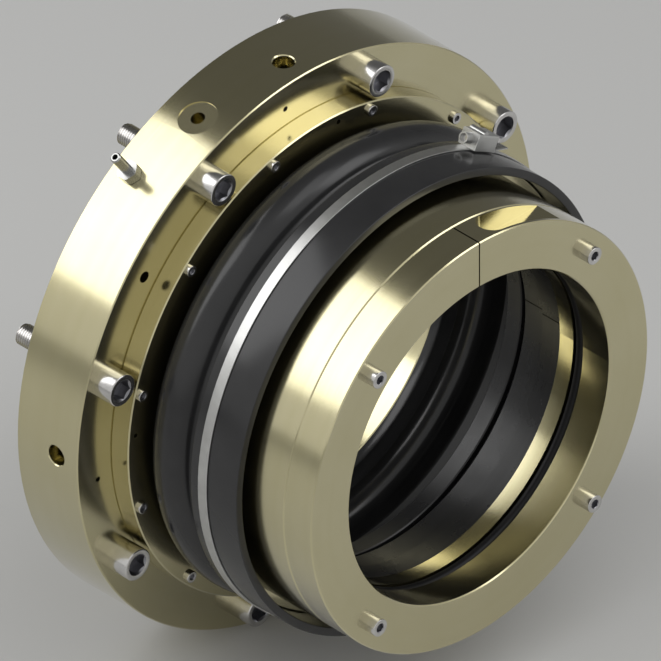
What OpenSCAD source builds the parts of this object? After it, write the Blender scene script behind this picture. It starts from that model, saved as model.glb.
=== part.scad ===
// Inboard face seal for a stern tube, for a shaft of 250 mm.
// The shaft runs along X. X is 0 at the back face of the mounting ring, which
// bolts to the stern tube, and grows towards the engine room. Z is up.
// Angles round the shaft are counted from +Y towards +Z.

/* [Shaft] */
// Diameter of the shaft
shaft_d = 250; // [200:1:320]
// Radial play of the clamped bores on the shaft, before they are tightened
shaft_fit = 0.2; // [0.05:0.05:0.4]

/* [Mounting ring] */
// Radial gap between the shaft and the ring's bore
mount_gap = 5.8; // [4:0.2:8]
// Thickness of the ring along the shaft
mount_t = 58; // [54:1:70]
// Distance from the bellows clamp ring's rim to the bolt circle
bolt_step = 13.5; // [12.5:0.5:20]
// Width of the ring outside the bolt circle
mount_rim_w = 19; // [14:0.5:26]
// Size of the edge chamfers on the bronze rings
edge = 0.8; // [0.3:0.1:1.4]

/* [Mounting screws] */
// Number of mounting screws
bolt_count = 8; // [6:1:10]
// Angle of the first mounting screw
bolt_angle = 28; // [26:1:30]
// Thread diameter of the mounting screws
bolt_d = 16; // [12:1:16]
// Length of the mounting screws under the head
bolt_len = 80; // [72:1:100]
// Radial play of a mounting screw in its clearance hole, which is of the coarse series
hole_play = 1.25; // [1.2:0.05:1.6]

/* [Ports] */
// Drill diameter of the flushing ports
port_d = 15.25; // [11:0.25:16]
// Depth of the tapped part of the flushing ports
port_depth = 16; // [12:1:22]
// Distance of the flushing ports from the back face
port_x = 37.4; // [36:0.2:40]
// Diameter of the water passage below a port
passage_d = 9; // [6:0.5:10]
// Seat diameter of the lifting eye hole
eye_seat_d = 28.5; // [24:0.5:32]
// Drill diameter of the lifting eye hole
eye_d = 10.2; // [8:0.1:12]
// Distance of the lifting eye hole from the back face
eye_x = 29.6; // [27:0.2:31]
// Diameter of the jacking holes
jack_d = 8.5; // [6:0.1:9]
// Diameter of the small tapped holes in the front face
tap_d = 4.2; // [3:0.1:5]

/* [Inflatable seal] */
// Width of the emergency seal's groove
inflate_w = 22; // [18:0.5:24]
// Depth of the emergency seal's groove
inflate_depth = 15; // [13:0.5:20]
// Middle of the emergency seal, from the back face
inflate_x = 18.4; // [18:0.2:20]
// Wall of the emergency seal's rubber
inflate_wall = 3.2; // [2:0.2:4]
// Width across flats of the air nipple's hexagon
nipple_af = 14; // [12:1:17]
// Outer diameter of the air nipple's hose tail
nipple_d = 7.6; // [6:0.2:9]
// Height of the air nipple above the rim
nipple_h = 28; // [22:1:34]

/* [Bellows] */
// Thickness of the clamped rubber flange
flange_rubber_t = 8; // [6:0.5:10]
// Wall of the folded rubber
bellows_wall = 7.5; // [6:0.5:8]
// Outer radius of the fold's round
fold_r = 19; // [18:0.5:21]
// Radius of the root between the neck and the fold
root_r = 4.8; // [4:0.2:6]
// Radius of the valley behind the cuff
valley_r = 5.5; // [5:0.1:7]
// How far the fold's crest stands out past the valley's centre
crest_rise = 6.4; // [5.4:0.1:7.4]
// Gap between the clamp ring and the fold
fold_gap = 2.5; // [1.5:0.5:6]
// Wall of the cuff and the skirt
cuff_wall = 6.2; // [5:0.2:7]
// Length of the skirt that overhangs the rotating drum
skirt_len = 26.1; // [20:0.5:34]

/* [Bellows clamp ring] */
// Width of the lip that holds the rubber flange
lip_w = 19; // [16:0.5:22]
// Thickness of the lip
lip_t = 8.5; // [7:0.5:12]
// Width of the ring's foot
foot_w = 14.5; // [13:0.5:18]
// Number of clamp ring screws
clip_count = 12; // [8:1:16]
// Thread diameter of the clamp ring screws
clip_d = 5; // [4:0.5:6]
// Depth of the clamp ring screws in the mounting ring
clip_grip = 13.5; // [10:0.5:16]

/* [Stationary face] */
// Radial gap between the shaft and the face ring
face_gap = 7; // [5:0.5:9]
// Radial width of the face ring
face_w = 21.4; // [19:0.2:24]
// Thickness of the face ring
face_t = 13.7; // [11:0.1:15]
// Depth of the carrier's pocket from its front
pocket_depth = 20.1; // [18:0.1:22]
// Width of the carrier's ledge behind the face ring
ledge_w = 11.6; // [10:0.2:13]
// Thickness of the carrier's ledge
ledge_t = 8.4; // [7:0.2:10]
// Length of the carrier's spigot behind the ledge
spigot_len = 11.4; // [8:0.2:12]
// Wall of the spigot
spigot_wall = 5.4; // [4:0.2:6]
// Length of the carrier's rim under the hose clamp
rim_len = 10.5; // [10:0.5:14]

/* [Hose clamp] */
// Width of the band
band_w = 8.4; // [7:0.2:9]
// Thickness of the band
band_t = 1; // [0.7:0.1:1.2]
// Angle of the worm housing
worm_angle = 60; // [50:1:65]
// Outer diameter of the worm's tube
worm_tube_d = 8; // [7.6:0.1:8.8]
// Width of the worm housing along the shaft
saddle_w = 16; // [14:0.5:17]
// Height of the worm housing's hood above the band
hood_h = 12; // [11:0.5:14]

/* [Rotating seat] */
// Radial gap between the shaft and the seat housing
housing_gap = 0.8; // [0.5:0.1:1.2]
// Radial width of the seat ring
seat_w = 24.2; // [23:0.2:27]
// Wall of the drum round the seat ring
drum_wall = 11.8; // [9:0.2:14]
// Depth of the housing's pocket for the seat ring
seat_depth = 35.3; // [32:0.1:40]
// Thickness of the housing's floor
floor_t = 12.8; // [12:0.2:16]
// Thickness of the shaft O-ring's cord
shaft_cord = 8.4; // [7:0.1:9]
// Angle of the joint between the two seat ring halves
seat_split_angle = 3.5; // [0:0.5:10]

/* [Shaft clamp ring] */
// Thickness of the ring along the shaft
clamp_t = 26.4; // [25:0.2:34]
// Width of the split
split_w = 1.2; // [0.8:0.1:2]
// Width of the pocket for the clamp screw
pocket_w = 21.7; // [19.5:0.1:22]
// Depth of the pocket from the rim
pocket_floor = 21.2; // [19:0.1:23]
// Thread diameter of the clamp screw
pinch_d = 10; // [8:1:10]
// Thread diameter of the four drive screws
drive_d = 8; // [6:1:9]
// Length of the drive screws under the head
drive_len = 40; // [36:1:44]
// Distance of the drive screws from the rim
drive_inset = 16; // [14:0.5:18]

/* [Hidden] */
$fn = 96;

// Clearances
seat_fit = 0.2;
rubber_fit = 0.1;
thread_fit = 0.1;
lift_gap = 0.3;
film = 0.2;
turn_gap = 1.5;
drill_tip = 1.5;
pin_end = 0.3;
cut = 1;

// Radii of the rotating parts, from the shaft outwards
shaft_r = shaft_d / 2;
clamp_bore_r = shaft_r + shaft_fit;
drum_bore_r = shaft_r + housing_gap;
seat_r = drum_bore_r + seat_w;
seat_relief = 3.4;
seat_lead = 7.5;
seat_lead_l = 6.5;
seat_step = 1;
drum_r = seat_r + seat_fit + drum_wall;

// Radii of the stationary face and its carrier
face_in_r = shaft_r + face_gap;
face_r = face_in_r + face_w;
pocket_r = face_r + seat_fit;
ledge_r = pocket_r - ledge_w;
spigot_r = pocket_r + 3.4;
spigot_in_r = spigot_r - spigot_wall;

// The rubber's section: neck, root, fold, valley, cuff
valley_back_r = valley_r + bellows_wall;
valley_floor_r = spigot_r + rubber_fit;
valley_c_r = valley_floor_r + valley_back_r;
fold_c_r = valley_c_r + crest_rise - fold_r;
valley_reach = valley_c_r - fold_c_r;
valley_step = sqrt(pow(fold_r + valley_r, 2) - pow(valley_reach, 2));
fold_turn = atan2(valley_step, valley_reach);
neck_r = fold_c_r - root_r;
neck_in_r = neck_r - bellows_wall;
rim_r = valley_c_r - 1.6;
cuff_in_r = rim_r + rubber_fit;
cuff_r = cuff_in_r + cuff_wall;

// Radii of the mounting side
mount_bore_r = shaft_r + mount_gap;
lip_in_r = neck_r + lift_gap;
rebate_r = lip_in_r + lip_w;
rubber_flange_r = rebate_r - lift_gap;
clamp_ring_r = rebate_r + foot_w;
clip_r = clamp_ring_r - 6.5;
bolt_r = clamp_ring_r + bolt_step;
mount_r = bolt_r + mount_rim_w;

// Places along the shaft, from the back face forwards
flange_x = mount_t + flange_rubber_t;
clamp_front_x = flange_x + lip_t;
fold_x = clamp_front_x + fold_gap + fold_r;
root_x = fold_x - fold_r - root_r;
valley_x = fold_x + valley_step;
shoulder_x = valley_x + valley_r;
rim_x = valley_x + valley_back_r;
carrier_x = rim_x + rim_len;
pocket_x = carrier_x - pocket_depth;
ledge_x = pocket_x - ledge_t;
spigot_x = ledge_x - spigot_len;
face_x = pocket_x + face_t;
skirt_x = carrier_x + skirt_len;
band_x = rim_x + rim_len / 2 - 0.5;
seat_x = face_x + film;
drum_x = carrier_x + turn_gap;
floor_x = drum_x + seat_depth;
seat_step_x = drum_x + seat_depth / 2;
recess_w = shaft_cord + 0.9;
recess_x = floor_x + floor_t;
clamp_x = recess_x + recess_w;
front_x = clamp_x + clamp_t;

// Ports and holes of the mounting ring
port_angles = [90, 180];
eye_angle = 110;
eye_depth = 24;
eye_seat_t = 0.8;
nipple_angle = 125.4;
nipple_thread_d = 9.7;
nipple_grip = 10;
duct_d = 4;
jack_angles = [140.6, 320.6];
tap_angles = [95.4, 185.5];
tap_depth = 12;
clip_jack_angles = [85, 175, 265, 355];
clip_jack_d = 3.3;
back_cord = 5.6;
back_groove_w = 7.6;
back_groove_r = (mount_bore_r + bolt_r) / 2;

// Screws: head diameter, head height and socket width by thread diameter
function head_d(d) = 1.5 * d + (d < 10 ? 1 : 0);
function head_h(d) = d;
function socket_af(d) = d < 10 ? 0.75 * d : 0.875 * d;
clip_head_h = 0.5 * clip_d;
clip_angle = 15;
drive_angle = 45;
drive_r = drum_r - drive_inset;

// The clamp screw of the split ring and its pocket
pocket_floor_z = drum_r - pocket_floor;
pocket_mid_x = clamp_x + 1.9 + pocket_w / 2;
pocket_end_y = 14.1;
pinch_z = pocket_floor_z + head_d(pinch_d) / 2 + 1.2;
pinch_seat_y = 4.6;
pinch_len = 35;

// The hose clamp
band_in_r = cuff_r + rubber_fit;
band_r = band_in_r + band_t;
saddle_t = 1.2;
saddle_r = band_r + rubber_fit + saddle_t;
hood_t = 1.2;
hood_round = 1.5;
hood_back = -11;
hood_len = 21;
pillar_w = 4;
pillar_h = 3;
plate_t = 1.4;
rib_at = -3.6;
rib_r = 2.6;
rib_end = 1.2;
worm_c_r = saddle_r + worm_tube_d / 2 + 0.9;
worm_nose = -18;
worm_end = 11.5;
worm_r = worm_tube_d / 2 - 1;
worm_play = 0.08;
worm_head_af = 8;
worm_head_l = 5;
tail_start = 12;
tail_len = 17;
tail_angle = 14;
slot_step = 3.4;
slot_w = 1.5;
slot_edge = 1.6;

// Static seals and pins
small_cord = 3.5;
small_groove_w = 4.8;
small_groove = small_cord + 2 * rubber_fit;
face_oring_x = (pocket_x + face_x) / 2;
seat_oring_x = drum_x + 0.65 * seat_depth;
face_pin_d = 5;
face_pin_r = pocket_r - 6;
face_pin_grip = 6;
seat_pin_d = 6;
seat_pin_r = (drum_bore_r + seat_r) / 2;
seat_pin_grip = 8;

// A section in the plane of radius and X, turned round the shaft
module turned() {
    rotate([90, 0, 90]) rotate_extrude() children();
}

// A plain rectangle of a section
module span(r0, r1, x0, x1) {
    translate([r0, x0]) square([r1 - r0, x1 - x0]);
}

// A rectangle of a section with four chamfers
module beveled(r0, r1, x0, x1, c) {
    polygon([
        [r0 + c, x0], [r1 - c, x0], [r1, x0 + c], [r1, x1 - c],
        [r1 - c, x1], [r0 + c, x1], [r0, x1 - c], [r0, x0 + c]
    ]);
}

// A rectangle of a section with four rounds
module rounded(r0, r1, x0, x1, c) {
    span(r0 + c, r1 - c, x0, x1);
    span(r0, r1, x0 + c, x1 - c);
    for (r = [r0 + c, r1 - c], x = [x0 + c, x1 - c]) {
        translate([r, x]) circle(c);
    }
}

// A round band of a section: part of a ring about one point, between two angles,
// and one degree more at each end so that it joins the next piece
module bend(r, x, inner, outer, a0, a1) {
    far = 3 * outer;
    lap = 1;
    from = a0 - lap;
    to = a1 + lap;
    mid = (a0 + a1) / 2;
    translate([r, x]) intersection() {
        difference() {
            circle(outer);
            circle(inner);
        }
        polygon([
            [0, 0], far * [cos(from), sin(from)], far * [cos(mid), sin(mid)],
            far * [cos(to), sin(to)]
        ]);
    }
}

// Places children at an angle round the shaft: their Z points outwards, their X along the shaft
module around(angle, r, x) {
    rotate([angle - 90, 0, 0]) translate([x, 0, r]) children();
}

// A rod along the shaft, at an angle and a radius
module along(angle, r, x0, x1, d) {
    rotate([angle, 0, 0]) translate([x0, r, 0]) rotate([0, 90, 0]) cylinder(h = x1 - x0, d = d);
}

// A socket head screw whose head stands on X = 0 and whose thread points to -X
module socket_screw(d, len, head_dia, head_high, af, deep) {
    bevel = 0.08 * head_dia / 2;
    tip = 0.09 * d;
    difference() {
        turned() polygon([
            [0, -len], [d / 2 - tip, -len], [d / 2, tip - len], [d / 2, 0], [head_dia / 2, 0],
            [head_dia / 2, head_high - bevel], [head_dia / 2 - bevel, head_high], [0, head_high]
        ]);
        translate([head_high - deep, 0, 0])
            rotate([0, 90, 0]) cylinder(h = deep + cut, d = af / cos(30), $fn = 6);
    }
}

// A ring of equal screws on one circle
module screw_ring(count, start, r, x) {
    for (i = [0:count - 1]) {
        rotate([start + i * 360 / count, 0, 0]) translate([x, r, 0]) children();
    }
}

// An O-ring's cord, set at its middle radius
module cord_ring(r, x, d) {
    turned() translate([r, x]) circle(d = d);
}

// A tapped port in the rim with a chamfered mouth
module port(angle, x, d, depth) {
    mouth = 0.8;
    around(angle, mount_r - depth, x) cylinder(h = depth + cut, d = d);
    around(angle, mount_r - mouth, x) cylinder(h = 2 * mouth, d1 = d, d2 = d + 4 * mouth);
}

module mounting_ring() {
    color([0.60, 0.56, 0.40]) difference() {
        turned() difference() {
            beveled(mount_bore_r, mount_r, 0, mount_t, edge);
            span(mount_bore_r - cut, mount_bore_r + inflate_depth,
                 inflate_x - inflate_w / 2, inflate_x + inflate_w / 2);
            span(back_groove_r - back_groove_w / 2, back_groove_r + back_groove_w / 2,
                 -cut, back_cord + rubber_fit);
        }
        for (i = [0:bolt_count - 1]) {
            along(bolt_angle + i * 360 / bolt_count, bolt_r, -cut, mount_t + cut,
                  bolt_d + 2 * hole_play);
        }
        for (i = [0:clip_count - 1]) {
            along(clip_angle + i * 360 / clip_count, clip_r, mount_t - clip_grip - drill_tip,
                  mount_t + cut, clip_d + 2 * thread_fit);
        }
        for (a = port_angles) {
            port(a, port_x, port_d, port_depth);
            around(a, mount_bore_r - cut, port_x)
                cylinder(h = mount_r - mount_bore_r - port_depth / 2, d = passage_d);
        }
        around(eye_angle, mount_r - eye_depth, eye_x) cylinder(h = eye_depth + cut, d = eye_d);
        around(eye_angle, mount_r - eye_seat_t, eye_x) cylinder(h = eye_seat_t + cut, d = eye_seat_d);
        around(nipple_angle, mount_r - nipple_grip - drill_tip, inflate_x)
            cylinder(h = nipple_grip + drill_tip + cut, d = nipple_thread_d + 2 * thread_fit);
        around(nipple_angle, mount_bore_r + inflate_depth - cut, inflate_x)
            cylinder(h = mount_r - mount_bore_r - inflate_depth, d = duct_d);
        for (a = jack_angles) {
            along(a, bolt_r, -cut, mount_t + cut, jack_d);
        }
        for (a = tap_angles) {
            along(a, bolt_r, mount_t - tap_depth, mount_t + cut, tap_d);
        }
    }
}

module mounting_oring() {
    color([0.10, 0.10, 0.11]) turned()
        translate([back_groove_r, back_cord / 2 + rubber_fit / 2]) circle(d = back_cord);
}

module mounting_screws() {
    color([0.75, 0.75, 0.76]) screw_ring(bolt_count, bolt_angle, bolt_r, mount_t)
        socket_screw(bolt_d, bolt_len, head_d(bolt_d), head_h(bolt_d), socket_af(bolt_d), bolt_d / 2);
}

// The emergency seal lies empty in its groove: a hollow tyre with two feet and a flat sole
module inflatable_seal() {
    r0 = mount_bore_r + 0.6;
    r1 = mount_bore_r + inflate_depth - seat_fit;
    x0 = inflate_x - inflate_w / 2 + seat_fit;
    x1 = inflate_x + inflate_w / 2 - seat_fit;
    w = inflate_wall;
    color([0.12, 0.12, 0.13]) difference() {
        turned() difference() {
            rounded(r0, r1, x0, x1, 2);
            rounded(r0 + w, r1 - w, x0 + w, x1 - w, 1.5);
        }
        around(nipple_angle, r1 - w - cut, inflate_x) cylinder(h = w + 2 * cut, d = duct_d);
    }
}

module air_nipple() {
    hex_h = 8;
    bore = nipple_d - 3.4;
    color([0.80, 0.80, 0.80]) around(nipple_angle, mount_r, inflate_x) difference() {
        union() {
            translate([0, 0, -nipple_grip]) cylinder(h = nipple_grip + 0.5, d = nipple_thread_d);
            intersection() {
                translate([0, 0, 0.3]) cylinder(h = hex_h, d = nipple_af / cos(30), $fn = 6);
                translate([0, 0, 0.3]) cylinder(h = hex_h, d = nipple_af + 1.3);
            }
            translate([0, 0, hex_h]) cylinder(h = nipple_h - hex_h - 1, d = nipple_d);
            translate([0, 0, nipple_h - 1]) cylinder(h = 1, d1 = nipple_d, d2 = nipple_d - 1.6);
        }
        translate([0, 0, -nipple_grip - cut]) cylinder(h = nipple_h + nipple_grip + 2 * cut, d = bore);
    }
}

module bellows_clamp_ring() {
    color([0.60, 0.56, 0.40]) difference() {
        turned() difference() {
            beveled(lip_in_r, clamp_ring_r, mount_t, clamp_front_x, edge);
            span(lip_in_r - cut, rebate_r, mount_t - cut, flange_x);
        }
        for (i = [0:clip_count - 1]) {
            along(clip_angle + i * 360 / clip_count, clip_r, mount_t - cut, clamp_front_x + cut,
                  clip_d + 0.5);
        }
        for (a = clip_jack_angles) {
            along(a, clip_r, mount_t - cut, clamp_front_x + cut, clip_jack_d);
        }
    }
}

module clamp_ring_screws() {
    color([0.75, 0.75, 0.76]) screw_ring(clip_count, clip_angle, clip_r, clamp_front_x)
        socket_screw(clip_d, clamp_front_x - mount_t + clip_grip, head_d(clip_d), clip_head_h,
                     0.8 * clip_d, 0.6 * clip_head_h);
}

// One moulded piece: clamped flange, neck, open fold, valley, cuff and skirt
module bellows() {
    color([0.13, 0.13, 0.14]) turned() {
        rounded(mount_bore_r, rubber_flange_r, mount_t, flange_x, 1);
        span(neck_in_r, neck_r, flange_x - 2, root_x);
        bend(fold_c_r, root_x, root_r, root_r + bellows_wall, 90, 180);
        bend(fold_c_r, fold_x, fold_r - bellows_wall, fold_r, -90, fold_turn);
        bend(valley_c_r, valley_x, valley_r, valley_back_r, 90, 180 + fold_turn);
        rounded(cuff_in_r, cuff_r, shoulder_x, skirt_x, 1.2);
    }
}

module face_carrier() {
    color([0.60, 0.56, 0.40]) difference() {
        turned() difference() {
            union() {
                span(spigot_in_r, spigot_r, spigot_x, pocket_x);
                span(ledge_r, spigot_r, ledge_x, pocket_x);
                beveled(pocket_r - 2, rim_r, ledge_x, carrier_x, edge);
            }
            translate([valley_c_r, valley_x]) circle(valley_back_r + rubber_fit);
            span(spigot_r + 0.001, rim_r + cut, spigot_x, valley_x);
            span(pocket_r - 3, pocket_r, pocket_x, carrier_x + cut);
            span(pocket_r - cut, face_r + small_groove, face_oring_x - small_groove_w / 2,
                 face_oring_x + small_groove_w / 2);
        }
        for (i = [0:3]) {
            along(45 + 90 * i, face_pin_r, pocket_x - face_pin_grip, pocket_x + cut,
                  face_pin_d + 2 * thread_fit);
        }
    }
}

module face_ring() {
    nose = 4;
    nose_r = face_r - 3.4;
    color([0.16, 0.16, 0.17]) difference() {
        turned() polygon([
            [face_in_r + edge, pocket_x], [face_r - edge, pocket_x], [face_r, pocket_x + edge],
            [face_r, face_x - nose], [nose_r, face_x - nose], [nose_r, face_x],
            [face_in_r + edge, face_x], [face_in_r, face_x - edge], [face_in_r, pocket_x + edge]
        ]);
        for (i = [0:3]) {
            along(45 + 90 * i, face_pin_r, pocket_x - cut, pocket_x + face_pin_grip + pin_end,
                  face_pin_d + 2 * thread_fit);
        }
    }
}

module face_ring_oring() {
    color([0.10, 0.10, 0.11]) cord_ring(face_r + rubber_fit + small_cord / 2, face_oring_x, small_cord);
}

module face_ring_pins() {
    color([0.75, 0.75, 0.76]) for (i = [0:3]) {
        along(45 + 90 * i, face_pin_r, pocket_x - face_pin_grip + pin_end, pocket_x + face_pin_grip,
              face_pin_d);
    }
}

// The band goes once round the cuff, and its slotted tail stands off past the housing
module clamp_band() {
    color([0.82, 0.82, 0.80]) {
        turned() rounded(band_in_r, band_r, band_x - band_w / 2, band_x + band_w / 2, 0.3);
        around(worm_angle, 0, band_x) translate([0, tail_start, sqrt(pow(band_r, 2) - pow(tail_start, 2))])
            rotate([tail_angle - asin(tail_start / band_r), 0, 0])
                translate([-band_w / 2, 0, -band_t / 2]) difference() {
                    cube([band_w, tail_len, band_t]);
                    for (i = [1:floor(tail_len / slot_step) - 1]) {
                        translate([slot_edge, i * slot_step, -cut])
                            cube([band_w - 2 * slot_edge, slot_w, band_t + 2 * cut]);
                    }
                }
    }
}

// Places children on the worm's axis, which crosses the shaft's radius at the housing
module on_worm(y) {
    around(worm_angle, worm_c_r, band_x) translate([0, y, 0]) rotate([-90, 0, 0]) children();
}

// A saddle on the band, a hood over it that is open at both ends, and the worm's tube
module worm_housing() {
    hood_z = band_r + hood_h;
    color([0.80, 0.80, 0.79]) difference() {
        union() {
            intersection() {
                turned() span(saddle_r - saddle_t, saddle_r, band_x - saddle_w / 2,
                              band_x + saddle_w / 2);
                around(worm_angle, 0, band_x) translate([-saddle_w, hood_back, 0])
                    cube([2 * saddle_w, hood_len + 2, 2 * saddle_r]);
            }
            around(worm_angle, 0, band_x) for (side = [0, 1]) mirror([side, 0, 0])
                translate([saddle_w / 2 - hood_t, hood_back, saddle_r - 1])
                    cube([hood_t, hood_len, hood_z - saddle_r + 1 - hood_round]);
            around(worm_angle, hood_z - hood_t, band_x)
                translate([-saddle_w / 2 + hood_round, hood_back, 0])
                    cube([saddle_w - 2 * hood_round, hood_len, hood_t]);
            around(worm_angle, hood_z - hood_round, band_x) for (side = [0, 1]) mirror([side, 0, 0])
                translate([saddle_w / 2 - hood_round, hood_back, 0]) rotate([-90, 0, 0])
                    cylinder(h = hood_len, r = hood_round);
            around(worm_angle, saddle_r - 1, band_x) translate([-pillar_w / 2, hood_back + 1, 0])
                cube([pillar_w, hood_len - 1, pillar_h]);
            around(worm_angle, saddle_r - 1, band_x)
                translate([hood_round - saddle_w / 2, hood_back + hood_round - plate_t, 0])
                    cube([saddle_w - 2 * hood_round, plate_t, hood_z - saddle_r + 1 - hood_t / 2]);
            around(worm_angle, hood_z - hood_t / 2, band_x)
                translate([rib_end - saddle_w / 2, rib_at, 0]) rotate([0, 90, 0])
                    cylinder(h = saddle_w - 2 * rib_end, r = rib_r);
            on_worm(worm_nose) cylinder(h = worm_end - worm_nose, d = worm_tube_d);
        }
        around(worm_angle, 0, band_x) translate([hood_t - saddle_w / 2, hood_back + hood_t, 0])
            intersection() {
                cube([saddle_w - 2 * hood_t, hood_len, hood_z - hood_t]);
                translate([0, 0, hood_z - hood_t - rib_r]) cube([saddle_w, hood_len, rib_r]);
            }
        on_worm(worm_nose - cut) cylinder(h = worm_end - worm_nose + 2 * cut, r = worm_r + worm_play);
    }
}

module worm_screw() {
    collar = worm_end + 0.4;
    color([0.75, 0.75, 0.76]) difference() {
        union() {
            on_worm(worm_nose + 3) cylinder(h = collar - worm_nose - 2.5, r = worm_r);
            on_worm(collar) cylinder(h = 1.2, d = worm_head_af + 2);
            on_worm(collar + 1.2) cylinder(h = worm_head_l - 1, d = worm_head_af / cos(30), $fn = 6);
        }
        on_worm(collar + worm_head_l - 1.4)
            translate([-worm_head_af, -0.6, 0]) cube([2 * worm_head_af, 1.2, 3]);
    }
}

module seat_housing() {
    color([0.60, 0.56, 0.40]) difference() {
        turned() difference() {
            beveled(drum_bore_r, drum_r, drum_x, clamp_x, edge);
            span(drum_bore_r - cut, seat_r + seat_fit, drum_x - cut, floor_x);
            span(drum_bore_r - cut, drum_bore_r + shaft_cord, recess_x, clamp_x + cut);
            span(seat_r, seat_r + small_groove, seat_oring_x - small_groove_w / 2,
                 seat_oring_x + small_groove_w / 2);
        }
        for (i = [0:3]) {
            along(drive_angle + 90 * i, drive_r, front_x - drive_len - drill_tip, clamp_x + cut,
                  drive_d + 2 * thread_fit);
            along(drive_angle + seat_split_angle + 90 * i, seat_pin_r, floor_x - cut,
                  floor_x + seat_pin_grip, seat_pin_d + 2 * thread_fit);
        }
    }
}

// One half of the split seat ring, on the side where its own Z is positive
module seat_half(turn) {
    half_gap = 0.05;
    difference() {
        turned() polygon([
            [drum_bore_r + seat_relief + seat_lead, seat_x], [seat_r - edge, seat_x],
            [seat_r, seat_x + edge], [seat_r, floor_x], [drum_bore_r, floor_x],
            [drum_bore_r, seat_step_x + seat_step], [drum_bore_r + seat_relief, seat_step_x],
            [drum_bore_r + seat_relief, seat_x + seat_lead_l]
        ]);
        rotate([seat_split_angle + turn, 0, 0])
            translate([seat_x - cut, -2 * seat_r, half_gap - 2 * seat_r])
                cube([floor_x - seat_x + 2 * cut, 4 * seat_r, 2 * seat_r]);
        for (i = [0:3]) {
            along(drive_angle + seat_split_angle + 90 * i, seat_pin_r, floor_x - seat_pin_grip,
                  floor_x + cut, seat_pin_d + 2 * thread_fit);
        }
    }
}

module seat_ring_upper() {
    color([0.20, 0.20, 0.21]) seat_half(0);
}

module seat_ring_lower() {
    color([0.20, 0.20, 0.21]) seat_half(180);
}

module seat_oring() {
    color([0.10, 0.10, 0.11]) cord_ring(seat_r + rubber_fit + small_cord / 2, seat_oring_x, small_cord);
}

module seat_pins() {
    color([0.75, 0.75, 0.76]) for (i = [0:3]) {
        along(drive_angle + seat_split_angle + 90 * i, seat_pin_r, floor_x - seat_pin_grip + pin_end,
              floor_x + seat_pin_grip - pin_end, seat_pin_d);
    }
}

module shaft_oring() {
    color([0.07, 0.07, 0.08])
        cord_ring(drum_bore_r + shaft_cord / 2 - 0.2, recess_x + recess_w / 2, shaft_cord - 0.2);
}

// A ring split once at the top and pulled together by one screw across the split
module shaft_clamp_ring() {
    color([0.60, 0.56, 0.40]) difference() {
        turned() beveled(clamp_bore_r, drum_r, clamp_x, front_x, edge);
        translate([clamp_x - cut, -split_w / 2, 0]) cube([clamp_t + 2 * cut, split_w, drum_r + cut]);
        for (i = [0:3]) {
            along(drive_angle + 90 * i, drive_r, clamp_x - cut, front_x + cut, drive_d + 1);
        }
        translate([pocket_mid_x, pocket_end_y + pocket_w / 2, pocket_floor_z])
            cylinder(h = pocket_floor + cut, d = pocket_w);
        translate([pocket_mid_x - pocket_w / 2, pocket_end_y + pocket_w / 2, pocket_floor_z])
            cube([pocket_w, drum_r, pocket_floor + cut]);
        translate([pocket_mid_x, pinch_seat_y, pinch_z]) rotate([-90, 0, 0])
            cylinder(h = pocket_end_y + pocket_w / 2, d = head_d(pinch_d) + 1);
        translate([pocket_mid_x, pinch_seat_y - pinch_len - drill_tip, pinch_z]) rotate([-90, 0, 0])
            cylinder(h = pinch_len + drill_tip + cut, d = pinch_d + 2 * thread_fit);
    }
}

module pinch_screw() {
    color([0.75, 0.75, 0.76]) translate([pocket_mid_x, pinch_seat_y, pinch_z]) rotate([0, 0, 90])
        socket_screw(pinch_d, pinch_len, head_d(pinch_d), head_h(pinch_d), socket_af(pinch_d),
                     pinch_d / 2);
}

module drive_screws() {
    color([0.75, 0.75, 0.76]) screw_ring(4, drive_angle, drive_r, front_x)
        socket_screw(drive_d, drive_len, head_d(drive_d), head_h(drive_d), socket_af(drive_d),
                     drive_d / 2);
}

mounting_ring();
mounting_oring();
mounting_screws();
inflatable_seal();
air_nipple();
bellows_clamp_ring();
clamp_ring_screws();
bellows();
face_carrier();
face_ring();
face_ring_oring();
face_ring_pins();
clamp_band();
worm_housing();
worm_screw();
seat_housing();
seat_ring_upper();
seat_ring_lower();
seat_oring();
seat_pins();
shaft_oring();
shaft_clamp_ring();
pinch_screw();
drive_screws();
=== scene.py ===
import math

import bpy
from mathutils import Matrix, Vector


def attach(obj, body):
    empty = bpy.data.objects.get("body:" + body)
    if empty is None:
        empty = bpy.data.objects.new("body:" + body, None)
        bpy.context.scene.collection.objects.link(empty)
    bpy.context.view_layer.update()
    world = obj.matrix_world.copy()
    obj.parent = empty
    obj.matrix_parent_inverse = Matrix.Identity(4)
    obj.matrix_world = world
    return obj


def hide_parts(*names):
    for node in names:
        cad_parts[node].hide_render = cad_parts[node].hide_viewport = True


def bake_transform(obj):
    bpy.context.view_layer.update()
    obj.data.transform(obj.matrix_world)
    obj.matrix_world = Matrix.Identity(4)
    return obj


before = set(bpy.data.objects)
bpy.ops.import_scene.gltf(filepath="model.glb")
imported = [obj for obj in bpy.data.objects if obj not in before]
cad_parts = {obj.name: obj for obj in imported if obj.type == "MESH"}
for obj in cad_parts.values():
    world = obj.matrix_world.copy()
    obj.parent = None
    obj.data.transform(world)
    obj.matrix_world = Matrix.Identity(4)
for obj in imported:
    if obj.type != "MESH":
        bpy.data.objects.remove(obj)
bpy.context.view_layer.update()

# The seal lies along X, from the back of its mounting ring at X = 0 towards the engine room.
# Sizes are in millimetres until they reach Blender, and angles round the shaft go from +Y to +Z.
MM = 0.001
FULL_TURN = 2 * math.pi
SHAFT = (1, 0, 0)


# Camera and light

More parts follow.
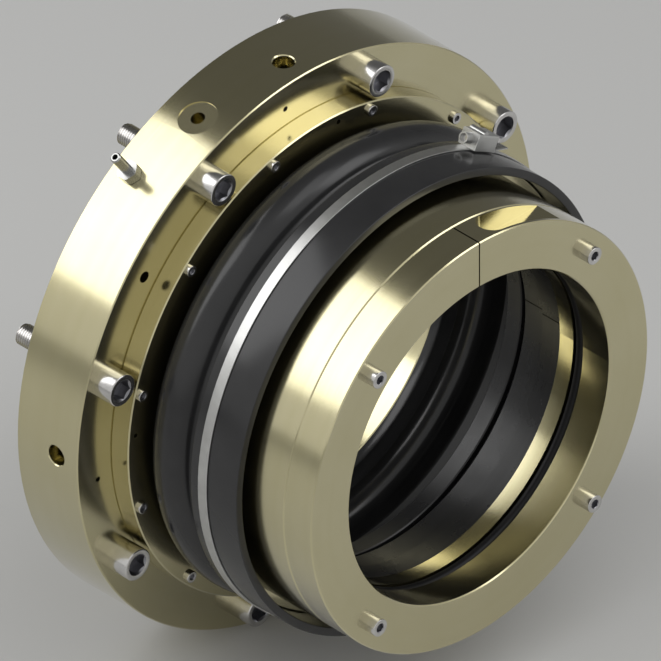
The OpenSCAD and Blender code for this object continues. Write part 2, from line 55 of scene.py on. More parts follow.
# An exact isometric view at 0.68 mm a pixel, 661 pixels wide
VIEW_WIDTH = 661 * 0.68 * MM
TOWARDS_CAMERA = Vector((1, -1, 1)).normalized()
PICTURE_RIGHT = Vector((1, 1, 0)).normalized()
PICTURE_UP = Vector((-1, 1, 2)).normalized()
PICTURE_CENTRE = 0.05836 * PICTURE_RIGHT - 0.01945 * PICTURE_UP
CAMERA_DISTANCE = 2.0


def add_camera():
    lens = bpy.data.cameras.new("isometric_camera")
    lens.type = "ORTHO"
    lens.ortho_scale = VIEW_WIDTH
    lens.clip_start = 0.01
    lens.clip_end = 50
    camera = bpy.data.objects.new("isometric_camera", lens)
    bpy.context.scene.collection.objects.link(camera)
    camera.location = PICTURE_CENTRE + CAMERA_DISTANCE * TOWARDS_CAMERA
    camera.rotation_euler = (-TOWARDS_CAMERA).to_track_quat("-Z", "Y").to_euler()
    bpy.context.scene.camera = camera


def add_softbox(name, towards, distance, width, height, brightness):
    """A rectangular lamp that faces the shaft; brightness 1 looks white in a mirror."""
    lamp = bpy.data.lights.new(name, "AREA")
    lamp.shape = "RECTANGLE"
    lamp.size = width
    lamp.size_y = height
    lamp.energy = brightness * width * height * math.pi
    softbox = bpy.data.objects.new(name, lamp)
    bpy.context.scene.collection.objects.link(softbox)
    direction = Vector(towards).normalized()
    softbox.location = distance * direction
    softbox.rotation_euler = (-direction).to_track_quat("-Z", "Y").to_euler()


add_camera()
add_softbox("key_softbox", (-0.56, -0.50, 0.67), 1.6, 1.1, 1.3, 2.3)
add_softbox("right_softbox", (0.577, 0.46, 0.68), 1.8, 0.8, 0.8, 2.2)
add_softbox("top_softbox", (0.35, 0.15, 0.93), 1.8, 0.8, 0.8, 1.3)


# Tools for the pieces made here

def settle(piece):
    """Puts a piece's place into its mesh, with its object at the origin."""
    bpy.ops.object.mode_set(mode="OBJECT")
    bpy.ops.object.select_all(action="DESELECT")
    piece.select_set(True)
    bpy.context.view_layer.objects.active = piece
    bpy.ops.object.transform_apply(location=True, rotation=True, scale=True)


def first_point(name, x, r):
    """Starts a section as one point, at a place along the shaft and a radius."""
    bpy.ops.object.select_all(action="DESELECT")
    bpy.ops.mesh.primitive_plane_add(size=MM)
    piece = bpy.context.object
    piece.name = name
    bpy.ops.object.mode_set(mode="EDIT")
    bpy.ops.mesh.merge(type="CENTER")
    bpy.ops.transform.translate(value=(x * MM, 0, r * MM))
    return piece


def draw_section(name, points):
    """Draws a section in the plane of the shaft, one point after another."""
    piece = first_point(name, *points[0])
    for (x0, r0), (x1, r1) in zip(points, points[1:]):
        step = ((x1 - x0) * MM, 0, (r1 - r0) * MM)
        bpy.ops.mesh.extrude_region_move(TRANSFORM_OT_translate={"value": step})
    return piece


def turn_section(name, points, steps):
    """Turns a closed section round the shaft, as a lathe would."""
    piece = draw_section(name, points + points[:1])
    bpy.ops.mesh.select_all(action="SELECT")
    bpy.ops.mesh.remove_doubles(threshold=0.001 * MM)
    bpy.ops.mesh.spin(steps=steps, angle=FULL_TURN, center=(0, 0, 0), axis=SHAFT)
    bpy.ops.mesh.select_all(action="SELECT")
    bpy.ops.mesh.remove_doubles(threshold=0.002 * MM)
    bpy.ops.mesh.normals_make_consistent(inside=False)
    settle(piece)
    return piece


def arc(x, r, radius, start, end, step=6):
    """Points of an arc of the section; 0 degrees points outwards and 90 along the shaft."""
    count = max(1, round(abs(end - start) / step))
    angles = [math.radians(start + (end - start) * i / count) for i in range(count + 1)]
    return [(x + radius * math.sin(a), r + radius * math.cos(a)) for a in angles]


def smooth(piece, degrees=35):
    bpy.ops.object.select_all(action="DESELECT")
    piece.select_set(True)
    bpy.context.view_layer.objects.active = piece
    bpy.ops.object.shade_smooth_by_angle(angle=math.radians(degrees))


def apply_modifiers(piece):
    bpy.ops.object.select_all(action="DESELECT")
    piece.select_set(True)
    bpy.context.view_layer.objects.active = piece
    for modifier in list(piece.modifiers):
        bpy.ops.object.modifier_apply(modifier=modifier.name)


def cut_away(piece, cutter):
    """Takes the cutter's shape out of a piece."""
    boolean = piece.modifiers.new("cut", "BOOLEAN")
    boolean.operation = "DIFFERENCE"
    boolean.solver = "EXACT"
    boolean.object = cutter
    apply_modifiers(piece)
    bpy.data.objects.remove(cutter)


def join(pieces):
    bpy.ops.object.select_all(action="DESELECT")
    for piece in pieces:
        piece.select_set(True)
    bpy.context.view_layer.objects.active = pieces[0]
    bpy.ops.object.join()
    return bpy.context.object


def rod(name, x0, x1, radius, sides):
    """A cylinder or prism along X through the origin, between two places."""
    bpy.ops.object.select_all(action="DESELECT")
    bpy.ops.mesh.primitive_cylinder_add(
        vertices=sides, radius=radius * MM, depth=(x1 - x0) * MM,
        location=((x0 + x1) / 2 * MM, 0, 0), rotation=(0, math.pi / 2, 0))
    piece = bpy.context.object
    piece.name = name
    settle(piece)
    return piece


def paint(piece, material):
    piece.data.materials.clear()
    piece.data.materials.append(material)


def place_on_circle(master, names, node, body, angles, r):
    """Copies a piece made on the X axis to places round the shaft, and removes the master."""
    for name, angle in zip(names, angles):
        copy = master.copy()
        copy.data = master.data.copy()
        copy.name = name
        bpy.context.scene.collection.objects.link(copy)
        a = math.radians(angle)
        copy.rotation_euler = (a, 0, 0)
        copy.location = (0, r * MM * math.cos(a), r * MM * math.sin(a))
        settle(copy)
        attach(copy, body)
        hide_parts(node)
    bpy.data.objects.remove(master)


# The rubber bellows: clamped flange, neck, open fold, valley, cuff and skirt

FLANGE_X = (58.0, 66.0)
FLANGE_R = (130.8, 171.7)
NECK_R = (145.2, 152.7)
ROOT = (72.2, 157.5)
ROOT_R = (4.8, 12.3)
FOLD = (96.0, 157.5)
FOLD_R = (11.5, 19.0)
FOLD_END = 59.05
VALLEY = (117.012, 170.1)
VALLEY_R = (5.5, 13.0)
CUFF_R = (168.6, 174.8)
CUFF_X = 122.512
CUFF_INNER_START = 96.6
SKIRT_X = 166.612
RUBBER_EDGE = 0.7
FLANGE_EDGE = 1.0
BELLOWS_STEPS = 240


def make_bellows():
    e = RUBBER_EDGE
    f = FLANGE_EDGE
    outside = (
        arc(FLANGE_X[0] + f, FLANGE_R[1] - f, f, -90, 0, 45)
        + arc(FLANGE_X[1] - f, FLANGE_R[1] - f, f, 0, 90, 45)
        + [(FLANGE_X[1], NECK_R[1])]
        + arc(*ROOT, ROOT_R[0], 180, 90, 10)
        + arc(*FOLD, FOLD_R[1], -90, FOLD_END, 4)[1:]
        + arc(*VALLEY, VALLEY_R[0], 180 + FOLD_END, 90, 9)[1:]
        + arc(CUFF_X + e, CUFF_R[1] - e, e, -90, 0, 18)
        + arc(SKIRT_X - e, CUFF_R[1] - e, e, 0, 90, 18)
    )
    inside = (
        arc(SKIRT_X - e, CUFF_R[0] + e, e, 90, 180, 18)
        + arc(*VALLEY, VALLEY_R[1], CUFF_INNER_START, 180 + FOLD_END, 6)
        + arc(*FOLD, FOLD_R[0], FOLD_END, -90, 6)[1:]
        + arc(*ROOT, ROOT_R[1], 90, 180, 10)[1:]
        + [(FLANGE_X[1], NECK_R[0])]
        + arc(FLANGE_X[1] - f, FLANGE_R[0] + f, f, 90, 180, 45)
        + arc(FLANGE_X[0] + f, FLANGE_R[0] + f, f, 180, 270, 45)
    )
    piece = turn_section("bellows_rubber", outside + inside, BELLOWS_STEPS)
    smooth(piece, 40)
    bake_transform(piece)
    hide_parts("bellows")
    return piece


# Socket head screws, modelled along X with the seat of the head at X = 0

# The thread's depth is a share of its pitch
THREAD_DEPTH = 0.61
THREAD_STEPS = 28
THREAD_TIP = 0.93
# The small hole that a turned piece keeps on its axis until it is closed
AXIS_HOLE_R = 0.3


def make_thread(name, pitch, crest, x0, x1):
    """A true helical thread as one closed piece between two places."""
    root = crest - THREAD_DEPTH * pitch
    profile = [
        (x0 - pitch, root), (x0 - 0.75 * pitch, root), (x0 - 0.44 * pitch, crest),
        (x0 - 0.31 * pitch, crest), (x0, root),
    ]
    piece = draw_section(name, profile)
    settle(piece)
    helix = piece.modifiers.new("helix", "SCREW")
    helix.axis = "X"
    helix.angle = FULL_TURN
    helix.screw_offset = pitch * MM
    helix.steps = THREAD_STEPS
    helix.render_steps = THREAD_STEPS
    helix.iterations = math.ceil((x1 - x0) / pitch) + 2
    helix.use_merge_vertices = True
    helix.merge_threshold = 0.005 * MM
    apply_modifiers(piece)
    bpy.ops.object.mode_set(mode="EDIT")
    bpy.ops.mesh.select_all(action="SELECT")
    bpy.ops.mesh.remove_doubles(threshold=0.005 * MM)
    for place, side in ((x0, -1), (x1, 1)):
        bpy.ops.mesh.select_all(action="SELECT")
        bpy.ops.mesh.bisect(plane_co=(place * MM, 0, 0), plane_no=(side, 0, 0),
                            use_fill=True, clear_outer=True)
    bpy.ops.mesh.select_all(action="SELECT")
    bpy.ops.mesh.normals_make_consistent(inside=False)
    bpy.ops.object.mode_set(mode="OBJECT")
    return piece


def paint_socket(head, corner, floor_x, mouth_x, steel, socket_shade_steel):
    """Gives the inside of the hexagon the second material, a darker steel that is painted shade in the
    socket.
    """
    paint(head, steel)
    head.data.materials.append(socket_shade_steel)
    bpy.ops.object.select_all(action="DESELECT")
    head.select_set(True)
    bpy.context.view_layer.objects.active = head
    bpy.ops.object.mode_set(mode="EDIT")
    bpy.ops.mesh.select_mode(type="FACE")
    bpy.ops.mesh.select_all(action="DESELECT")
    bpy.ops.object.mode_set(mode="OBJECT")
    for face in head.data.polygons:
        near_axis = math.hypot(face.center.y, face.center.z) < 1.001 * corner * MM
        face.select = near_axis and (floor_x - 0.01) * MM < face.center.x < (mouth_x - 0.04) * MM
    bpy.ops.object.mode_set(mode="EDIT")
    head.active_material_index = 1
    bpy.ops.object.material_slot_assign()
    bpy.ops.mesh.select_mode(type="VERT")
    bpy.ops.object.mode_set(mode="OBJECT")


def make_socket_screw(name, d, pitch, length, threaded, head_d, head_h, socket, depth, sides,
                      steel, socket_shade_steel):
    """The head and plain shank are turned, the hexagon is cut with a bevelled mouth."""
    r = head_d / 2
    edge = 0.07 * r
    shank = d / 2 - 0.02 * d
    shank_start = -length + threaded - 0.5 * pitch
    neck = 0.03 * d
    face = head_h - 0.02 * d
    section = (
        [(shank_start, AXIS_HOLE_R), (shank_start, shank)]
        + [(-neck, shank), (0, shank + neck), (0, r)]
        + arc(head_h - edge, r - edge, edge, 0, 90, 30)
        + [(face, 0.76 * r), (face, AXIS_HOLE_R)]
    )
    head = turn_section(name, section, sides)
    bpy.ops.object.mode_set(mode="EDIT")
    bpy.ops.mesh.select_mode(type="VERT")
    bpy.ops.mesh.select_all(action="DESELECT")
    bpy.ops.object.mode_set(mode="OBJECT")
    for vertex in head.data.vertices:
        vertex.select = math.hypot(vertex.co.y, vertex.co.z) < (AXIS_HOLE_R + 0.01) * MM
    bpy.ops.object.mode_set(mode="EDIT")
    bpy.ops.mesh.delete(type="VERT")
    bpy.ops.mesh.select_all(action="SELECT")
    bpy.ops.mesh.fill_holes(sides=0)
    bpy.ops.mesh.normals_make_consistent(inside=False)
    bpy.ops.object.mode_set(mode="OBJECT")
    corner = socket / math.cos(math.pi / 6) / 2
    cutter = rod("socket_cutter", head_h - depth, head_h + 1, corner, 6)
    cut_away(head, cutter)
    bpy.ops.object.select_all(action="DESELECT")
    mouth = 1.03 * corner
    bpy.ops.mesh.primitive_cone_add(
        vertices=sides, radius1=mouth * MM, radius2=0.6 * mouth * MM, depth=0.4 * mouth * MM,
        location=((face - 0.2 * mouth + 0.01) * MM, 0, 0),
        rotation=(0, -math.pi / 2, 0))
    cone = bpy.context.object
    settle(cone)
    cut_away(head, cone)
    # The inside of the hexagon gets the darker steel: painted shade in the socket
    paint_socket(head, corner, head_h - depth, face, steel, socket_shade_steel)
    thread = make_thread(name + "_thread", pitch, d / 2, -length, -length + threaded)
    paint(thread, steel)
    bpy.ops.object.mode_set(mode="EDIT")
    bpy.ops.mesh.select_all(action="DESELECT")
    bpy.ops.object.mode_set(mode="OBJECT")
    for vertex in thread.data.vertices:
        vertex.select = vertex.co.x < (-length + 0.35 * pitch) * MM
    bpy.ops.object.mode_set(mode="EDIT")
    bpy.ops.transform.resize(value=(1, THREAD_TIP, THREAD_TIP), center_override=(0, 0, 0))
    bpy.ops.object.mode_set(mode="OBJECT")
    screw = join([head, thread])
    screw.name = name
    smooth(screw, 32)
    return screw


def move_along(piece, x):
    piece.location = (x * MM, 0, 0)
    settle(piece)


# Where the heads seat along the shaft, and the pitch circles
MOUNT_FRONT_X = 58.0
MOUNT_CIRCLE_R = 200
CLAMP_FRONT_X = 74.5
CLAMP_CIRCLE_R = 180
DRUM_FRONT_X = 225.812
DRUM_CIRCLE_R = 146


def ring_of(count, first_angle):
    return [first_angle + 360 // count * i for i in range(count)]


def make_screws(steel, socket_shade_steel):
    big = make_socket_screw(
        "m16", d=16, pitch=2, length=80, threaded=44, head_d=24, head_h=16, socket=14, depth=8,
        sides=64, steel=steel, socket_shade_steel=socket_shade_steel)
    move_along(big, MOUNT_FRONT_X)
    place_on_circle(
        big, [f"mounting_screw_{i + 1}" for i in range(8)], "mounting_screws", "mounting",
        ring_of(8, 28), MOUNT_CIRCLE_R)
    small = make_socket_screw(
        "m5", d=5, pitch=0.8, length=30, threaded=12, head_d=8.5, head_h=2.5, socket=4, depth=1.6,
        sides=32, steel=steel, socket_shade_steel=socket_shade_steel)
    move_along(small, CLAMP_FRONT_X)
    place_on_circle(
        small, [f"clamp_ring_screw_{i + 1}" for i in range(12)], "clamp_ring_screws", "mounting",
        ring_of(12, 15), CLAMP_CIRCLE_R)
    middle = make_socket_screw(
        "m8", d=8, pitch=1.25, length=40, threaded=22, head_d=13, head_h=8, socket=6, depth=4,
        sides=48, steel=steel, socket_shade_steel=socket_shade_steel)
    move_along(middle, DRUM_FRONT_X)
    place_on_circle(
        middle, [f"drive_screw_{i + 1}" for i in range(4)], "drive_screws", "rotor",
        ring_of(4, 45), DRUM_CIRCLE_R)


# Node groups and materials

def node(tree, kind, **settings):
    made = tree.nodes.new(kind)
    for name, value in settings.items():
        setattr(made, name, value)
    return made


def math_node(tree, operation, a, b=None, clamp=False):
    made = node(tree, "ShaderNodeMath", operation=operation, use_clamp=clamp)
    for socket, value in zip(made.inputs, (a, b)):
        if value is None:
            continue
        if isinstance(value, (int, float)):
            socket.default_value = value
        else:
            tree.links.new(value, socket)
    return made.outputs[0]


def new_group(name, inputs, outputs):
    tree = bpy.data.node_groups.new(name, "ShaderNodeTree")
    for label, default in inputs:
        socket = tree.interface.new_socket(label, in_out="INPUT", socket_type="NodeSocketFloat")
        socket.default_value = default
    for label in outputs:
        tree.interface.new_socket(label, in_out="OUTPUT", socket_type="NodeSocketFloat")
    start = tree.nodes.new("NodeGroupInput")
    end = tree.nodes.new("NodeGroupOutput")
    return tree, start, end


def make_turning_marks():
    """Fine lines that a lathe leaves: rings on faces, hoops on cylinders."""
    tree, start, end = new_group(
        "turning_marks", [("Line spacing mm", 0.6)], ["Lines", "Hoops"])
    place = node(tree, "ShaderNodeTexCoord")
    parts = node(tree, "ShaderNodeSeparateXYZ")
    tree.links.new(place.outputs["Object"], parts.inputs[0])
    flat = node(tree, "ShaderNodeCombineXYZ")
    tree.links.new(parts.outputs["Y"], flat.inputs["Y"])
    tree.links.new(parts.outputs["Z"], flat.inputs["Z"])
    radius = node(tree, "ShaderNodeVectorMath", operation="LENGTH")
    tree.links.new(flat.outputs[0], radius.inputs[0])
    section = node(tree, "ShaderNodeCombineXYZ")
    tree.links.new(parts.outputs["X"], section.inputs["X"])
    tree.links.new(radius.outputs["Value"], section.inputs["Y"])
    per_metre = math_node(tree, "DIVIDE", 1000, start.outputs["Line spacing mm"])
    lines = node(tree, "ShaderNodeTexNoise", noise_dimensions="2D")
    lines.inputs["Detail"].default_value = 2
    tree.links.new(section.outputs[0], lines.inputs["Vector"])
    tree.links.new(per_metre, lines.inputs["Scale"])
    hoops = node(tree, "ShaderNodeTexNoise", noise_dimensions="2D")
    hoops.inputs["Detail"].default_value = 1
    tree.links.new(section.outputs[0], hoops.inputs["Vector"])
    tree.links.new(math_node(tree, "MULTIPLY", per_metre, 0.09), hoops.inputs["Scale"])
    tree.links.new(lines.outputs["Fac"], end.inputs["Lines"])
    tree.links.new(hoops.outputs["Fac"], end.inputs["Hoops"])
    return tree


def make_patches():
    """Slow changes over the surface, as from handling, oil and age."""
    tree, start, end = new_group(
        "handling_patches", [("Patch size mm", 40), ("Grain size mm", 1.2)], ["Patches", "Grain"])
    place = node(tree, "ShaderNodeTexCoord")
    for size, output, detail in (("Patch size mm", "Patches", 4), ("Grain size mm", "Grain", 2)):
        noise = node(tree, "ShaderNodeTexNoise")
        noise.inputs["Detail"].default_value = detail
        tree.links.new(place.outputs["Object"], noise.inputs["Vector"])
        tree.links.new(math_node(tree, "DIVIDE", 1000, start.outputs[size]), noise.inputs["Scale"])
        tree.links.new(noise.outputs["Fac"], end.inputs[output])
    return tree


def make_edge_wear_and_highlight():
    """A mask that is 1 on sharp edges, broken up along them; it lightens edges, partly as wear and
    partly as a painted highlight.
    """
    tree, start, end = new_group(
        "edge_wear_and_highlight", [("Reach mm", 0.8), ("Breaks mm", 6)], ["Edge"])
    bevel = node(tree, "ShaderNodeBevel", samples=4)
    tree.links.new(math_node(tree, "MULTIPLY", start.outputs["Reach mm"], MM), bevel.inputs["Radius"])
    surface = node(tree, "ShaderNodeNewGeometry")
    along = node(tree, "ShaderNodeVectorMath", operation="DOT_PRODUCT")
    tree.links.new(bevel.outputs[0], along.inputs[0])
    tree.links.new(surface.outputs["Normal"], along.inputs[1])
    sharp = math_node(tree, "SUBTRACT", 1, along.outputs["Value"])
    place = node(tree, "ShaderNodeTexCoord")
    breaks = node(tree, "ShaderNodeTexNoise")
    tree.links.new(place.outputs["Object"], breaks.inputs["Vector"])
    tree.links.new(math_node(tree, "DIVIDE", 1000, start.outputs["Breaks mm"]), breaks.inputs["Scale"])
    strong = math_node(tree, "MULTIPLY", sharp, 9)
    edge = math_node(tree, "MULTIPLY", strong, breaks.outputs["Fac"], True)
    tree.links.new(edge, end.inputs["Edge"])
    return tree


def place_group(tree, group, **values):
    made = tree.nodes.new("ShaderNodeGroup")
    made.node_tree = group
    for label, value in values.items():
        made.inputs[label.replace("_", " ")].default_value = value
    return made


def ranged(tree, source, low, high):
    """Spreads a 0 to 1 value, as noise gives it around a half, over low to high."""
    made = node(tree, "ShaderNodeMapRange")
    made.inputs["From Min"].default_value = 0.3
    made.inputs["From Max"].default_value = 0.7
    made.inputs["To Min"].default_value = low
    made.inputs["To Max"].default_value = high
    tree.links.new(source, made.inputs["Value"])
    return made.outputs["Result"]


def mixed(tree, factor, first, second):
    """A colour between two colours or colour sources, by a factor."""
    made = node(tree, "ShaderNodeMix", data_type="RGBA", clamp_factor=True)
    tree.links.new(factor, made.inputs["Factor"])
    for socket, value in ((made.inputs["A"], first), (made.inputs["B"], second)):
        if isinstance(value, tuple):
            socket.default_value = (*value, 1)
        else:
            tree.links.new(value, socket)
    return made.outputs["Result"]


def new_material(name, **shader_values):
    material = bpy.data.materials.new(name)
    material.use_nodes = True
    tree = material.node_tree
    shader = tree.nodes["Principled BSDF"]
    for label, value in shader_values.items():
        shader.inputs[label.replace("_", " ")].default_value = value
    return material, tree, shader


def add_bump(tree, shader, height, distance_mm, strength):
    bump = node(tree, "ShaderNodeBump")
    bump.inputs["Strength"].default_value = strength
    bump.inputs["Distance"].default_value = distance_mm * MM
    tree.links.new(height, bump.inputs["Height"])
    tree.links.new(bump.outputs[0], shader.inputs["Normal"])


TURNING = make_turning_marks()
PATCHES = make_patches()
EDGE_WEAR_AND_HIGHLIGHT = make_edge_wear_and_highlight()


def make_bronze(name, light, dark, rough_low, rough_high):
    """Turned and lightly polished bronze, a little warmer and duller in patches."""
    material, tree, shader = new_material(name, Metallic=1.0, Coat_Weight=1.0, Coat_Roughness=0.12)
    marks = place_group(tree, TURNING, Line_spacing_mm=0.7)
    patches = place_group(tree, PATCHES, Patch_size_mm=55, Grain_size_mm=1.5)
    edges = place_group(tree, EDGE_WEAR_AND_HIGHLIGHT, Reach_mm=0.7, Breaks_mm=7)
    tone = math_node(tree, "ADD", math_node(tree, "MULTIPLY", patches.outputs["Patches"], 0.7),
                     math_node(tree, "MULTIPLY", marks.outputs["Hoops"], 0.3))
    body = mixed(tree, ranged(tree, tone, 0, 1), light, dark)
    # Sharp edges are lighter: partly worn metal, partly a painted highlight
    bright = tuple(min(1, 1.25 * c) for c in light)
    tree.links.new(mixed(tree, math_node(tree, "MULTIPLY", edges.outputs["Edge"], 0.5), body, bright),
                   shader.inputs["Base Color"])
    rough = math_node(tree, "ADD", math_node(tree, "MULTIPLY", patches.outputs["Patches"], 0.5),
                      math_node(tree, "MULTIPLY", marks.outputs["Lines"], 0.5))
    tree.links.new(ranged(tree, rough, rough_low, rough_high), shader.inputs["Roughness"])
    add_bump(tree, shader, marks.outputs["Lines"], 0.003, 0.4)
    return material


def line_with_paint(material, paint_colour, radius_mm):
    """Covers what lies nearer the shaft than a radius with matt paint."""
    tree = material.node_tree
    shader = tree.nodes["Principled BSDF"]
    place = node(tree, "ShaderNodeTexCoord")
    parts = node(tree, "ShaderNodeSeparateXYZ")
    tree.links.new(place.outputs["Object"], parts.inputs[0])
    flat = node(tree, "ShaderNodeCombineXYZ")
    tree.links.new(parts.outputs["Y"], flat.inputs["Y"])
    tree.links.new(parts.outputs["Z"], flat.inputs["Z"])
    radius = node(tree, "ShaderNodeVectorMath", operation="LENGTH")
    tree.links.new(flat.outputs[0], radius.inputs[0])
    bare = math_node(tree, "GREATER_THAN", radius.outputs["Value"], radius_mm * MM)
    metal = shader.inputs["Base Color"].links[0].from_socket
    tree.links.new(mixed(tree, bare, paint_colour, metal), shader.inputs["Base Color"])
    tree.links.new(bare, shader.inputs["Metallic"])
    tree.links.new(bare, shader.inputs["Coat Weight"])
    metal_rough = shader.inputs["Roughness"].links[0].from_socket
    painted = math_node(tree, "MULTIPLY", math_node(tree, "SUBTRACT", 1, bare), 0.6)
    tree.links.new(math_node(tree, "MAXIMUM", metal_rough, painted), shader.inputs["Roughness"])


def make_steel(name, light, dark, rough_low, rough_high, spacing):
    """Bright stainless steel with fine drawing or turning marks."""
    material, tree, shader = new_material(name, Metallic=1.0)
    marks = place_group(tree, TURNING, Line_spacing_mm=spacing)
    patches = place_group(tree, PATCHES, Patch_size_mm=9, Grain_size_mm=0.5)
    edges = place_group(tree, EDGE_WEAR_AND_HIGHLIGHT, Reach_mm=0.3, Breaks_mm=3)
    body = mixed(tree, ranged(tree, patches.outputs["Patches"], 0, 1), light, dark)
    # Sharp edges are lighter: partly worn steel, partly a painted highlight
    bright = tuple(min(1, 1.2 * c) for c in light)
    tree.links.new(mixed(tree, math_node(tree, "MULTIPLY", edges.outputs["Edge"], 0.6), body, bright),
                   shader.inputs["Base Color"])
    tree.links.new(ranged(tree, patches.outputs["Grain"], rough_low, rough_high),
                   shader.inputs["Roughness"])
    add_bump(tree, shader, marks.outputs["Lines"], 0.003, 0.5)
    return material


def make_rubber(name, light, dark, rough_low, rough_high, gloss):
    """Moulded rubber: a fine skin, a slow change in sheen, and lighter edges that are partly dust and
    partly a painted highlight.
    """
    material, tree, shader = new_material(name, Specular_IOR_Level=gloss)
    patches = place_group(tree, PATCHES, Patch_size_mm=35, Grain_size_mm=0.9)
    edges = place_group(tree, EDGE_WEAR_AND_HIGHLIGHT, Reach_mm=1.2, Breaks_mm=9)
    body = mixed(tree, ranged(tree, patches.outputs["Patches"], 0, 1), dark, light)
    # Edges are lighter: partly dust, partly a painted highlight
    edge_dust_and_highlight = tuple(2.2 * c for c in light)
    tree.links.new(mixed(tree, math_node(tree, "MULTIPLY", edges.outputs["Edge"], 0.5), body, edge_dust_and_highlight),
                   shader.inputs["Base Color"])
    tree.links.new(ranged(tree, patches.outputs["Patches"], rough_low, rough_high),
                   shader.inputs["Roughness"])
    add_bump(tree, shader, patches.outputs["Grain"], 0.01, 0.35)
    return material


def joint_line(tree, angle, half_width_mm):
    """0 on the plane through the shaft where the seat ring is split, and 1 elsewhere."""
    place = node(tree, "ShaderNodeTexCoord")
    across = node(tree, "ShaderNodeVectorMath", operation="DOT_PRODUCT")
    tree.links.new(place.outputs["Object"], across.inputs[0])
    a = math.radians(angle)
    across.inputs[1].default_value = (0, -math.sin(a), math.cos(a))
    away = math_node(tree, "ABSOLUTE", across.outputs["Value"])
    return math_node(tree, "GREATER_THAN", away, half_width_mm * MM)


def make_composite(name, light, dark, split_angle=None):
    """Dark turned face material, dull with visible turning rings, and black at its split."""
    material, tree, shader = new_material(name, Specular_IOR_Level=0.4)
    marks = place_group(tree, TURNING, Line_spacing_mm=0.5)
    patches = place_group(tree, PATCHES, Patch_size_mm=25, Grain_size_mm=0.6)
    body = mixed(tree, ranged(tree, marks.outputs["Hoops"], 0, 1), light, dark)
    if split_angle is not None:
        whole = joint_line(tree, split_angle, 0.45)
        body = mixed(tree, whole, (0.002, 0.002, 0.002), body)
        tree.links.new(math_node(tree, "MULTIPLY", whole, 0.4), shader.inputs["Specular IOR Level"])
    tree.links.new(body, shader.inputs["Base Color"])
    tree.links.new(ranged(tree, patches.outputs["Patches"], 0.24, 0.34), shader.inputs["Roughness"])
    add_bump(tree, shader, marks.outputs["Lines"], 0.01, 0.5)
    return material


CARRIER_LINING_R = 157.4


def dress():
    bronze = make_bronze("turned_bronze", (0.575, 0.527, 0.325), (0.535, 0.487, 0.28), 0.15, 0.21)
    lined_bronze = bronze.copy()
    lined_bronze.name = "lined_bronze"
    line_with_paint(lined_bronze, (0.012, 0.012, 0.012), CARRIER_LINING_R)
    steel = make_steel("screw_steel", (0.66, 0.65, 0.64), (0.54, 0.53, 0.52), 0.16, 0.27, 0.5)
    # Darker steel for the inside of the hexagon sockets: painted shade in the recess
    socket_shade_steel = make_steel("socket_painted_shade_steel", (0.34, 0.34, 0.36), (0.22, 0.22, 0.235), 0.28, 0.4, 0.5)
    band_steel = make_steel("band_steel", (0.56, 0.56, 0.55), (0.49, 0.49, 0.48), 0.32, 0.42, 0.35)
    nipple_steel = make_steel("nipple_steel", (0.46, 0.46, 0.45), (0.36, 0.36, 0.35), 0.22, 0.32, 0.4)
    rubber = make_rubber("moulded_rubber", (0.027, 0.027, 0.028), (0.021, 0.021, 0.022), 0.17, 0.24,
                         0.38)
    cord_rubber = make_rubber("cord_rubber", (0.008, 0.008, 0.009), (0.005, 0.005, 0.006), 0.4, 0.5,
                              0.25)
    composite = make_composite("face_composite", (0.016, 0.016, 0.017), (0.011, 0.011, 0.012))
    seat_composite = make_composite("seat_composite", (0.016, 0.016, 0.017), (0.011, 0.011, 0.012), 3.5)
    wanted = {
        "mounting_ring": bronze, "bellows_clamp_ring": bronze, "face_carrier": lined_bronze,
        "seat_housing": bronze, "shaft_clamp_ring": bronze,
        "mounting_screws": steel, "clamp_ring_screws": steel, "drive_screws": steel,
        "pinch_screw": steel, "face_ring_pins": steel, "seat_pins": steel,
        "air_nipple": nipple_steel,
        "worm_screw": steel, "clamp_band": band_steel, "worm_housing": band_steel,
        "bellows": rubber, "inflatable_seal": rubber,
        "mounting_oring": cord_rubber, "face_ring_oring": cord_rubber, "seat_oring": cord_rubber,
        "shaft_oring": cord_rubber,
        "face_ring": composite, "seat_ring_upper": seat_composite, "seat_ring_lower": seat_composite,
    }
    for name, material in wanted.items():
        paint(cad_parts[name], material)
    paint(make_bellows(), rubber)
    make_screws(steel, socket_shade_steel)


dress()


# Floor and studio

FLOOR_Z = -219.02
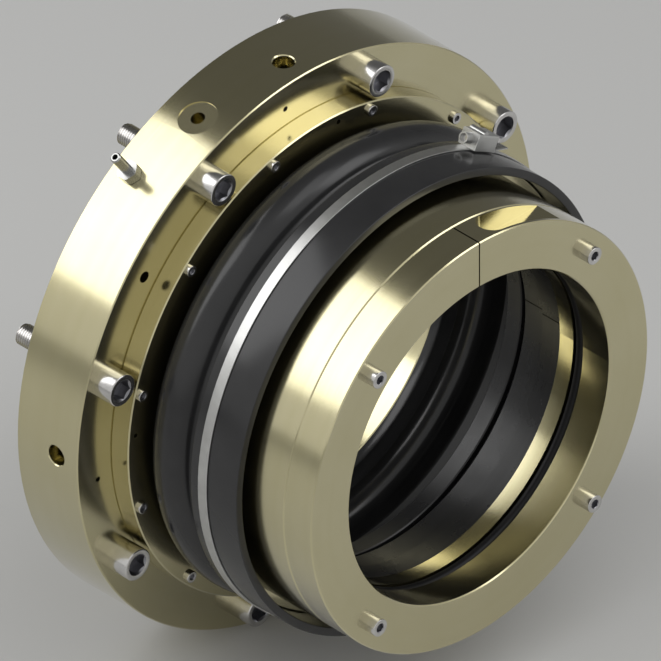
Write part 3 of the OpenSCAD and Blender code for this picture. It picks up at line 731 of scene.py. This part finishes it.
# The floor is a little darker under and behind the seal than in front of it, along X: a painted shadow
# of the seal on the floor
FLOOR_PAINTED_SHADOW = (0.57, 0.57, 0.565)
FLOOR_LIGHT = (0.68, 0.68, 0.675)
FLOOR_PAINTED_SHADOW_X = -50
FLOOR_LIGHT_X = 330


def add_floor():
    bpy.ops.object.select_all(action="DESELECT")
    bpy.ops.mesh.primitive_plane_add(size=16, location=(0, 0, FLOOR_Z * MM))
    floor = bpy.context.object
    floor.name = "studio_floor"
    material, tree, shader = new_material("floor_paint", Roughness=0.85, Specular_IOR_Level=0.2)
    place = node(tree, "ShaderNodeTexCoord")
    parts = node(tree, "ShaderNodeSeparateXYZ")
    tree.links.new(place.outputs["Object"], parts.inputs[0])
    # Blends from the painted shadow near the seal to the pale floor in front
    ahead = node(tree, "ShaderNodeMapRange", interpolation_type="SMOOTHSTEP")
    ahead.inputs["From Min"].default_value = FLOOR_PAINTED_SHADOW_X * MM
    ahead.inputs["From Max"].default_value = FLOOR_LIGHT_X * MM
    tree.links.new(parts.outputs["X"], ahead.inputs["Value"])
    tree.links.new(mixed(tree, ahead.outputs["Result"], FLOOR_PAINTED_SHADOW, FLOOR_LIGHT),
                   shader.inputs["Base Color"])
    floor.data.materials.append(material)


def add_world():
    """A pale studio, darker in one direction: up behind the seal, as the bronze shows."""
    world = bpy.data.worlds.new("studio")
    world.use_nodes = True
    bpy.context.scene.world = world
    tree = world.node_tree
    place = node(tree, "ShaderNodeTexCoord")
    towards = node(tree, "ShaderNodeVectorMath", operation="DOT_PRODUCT")
    tree.links.new(place.outputs["Generated"], towards.inputs[0])
    towards.inputs[1].default_value = Vector((-0.55, 0.62, 0.56)).normalized()
    shade = node(tree, "ShaderNodeMapRange", interpolation_type="SMOOTHSTEP")
    shade.inputs["From Min"].default_value = 0.25
    shade.inputs["From Max"].default_value = 0.9
    tree.links.new(towards.outputs["Value"], shade.inputs["Value"])
    colour = mixed(tree, shade.outputs["Result"], (0.74, 0.74, 0.73), (0.125, 0.125, 0.122))
    tree.links.new(colour, tree.nodes["Background"].inputs["Color"])


add_floor()
add_world()
bpy.context.scene.view_settings.view_transform = "Standard"
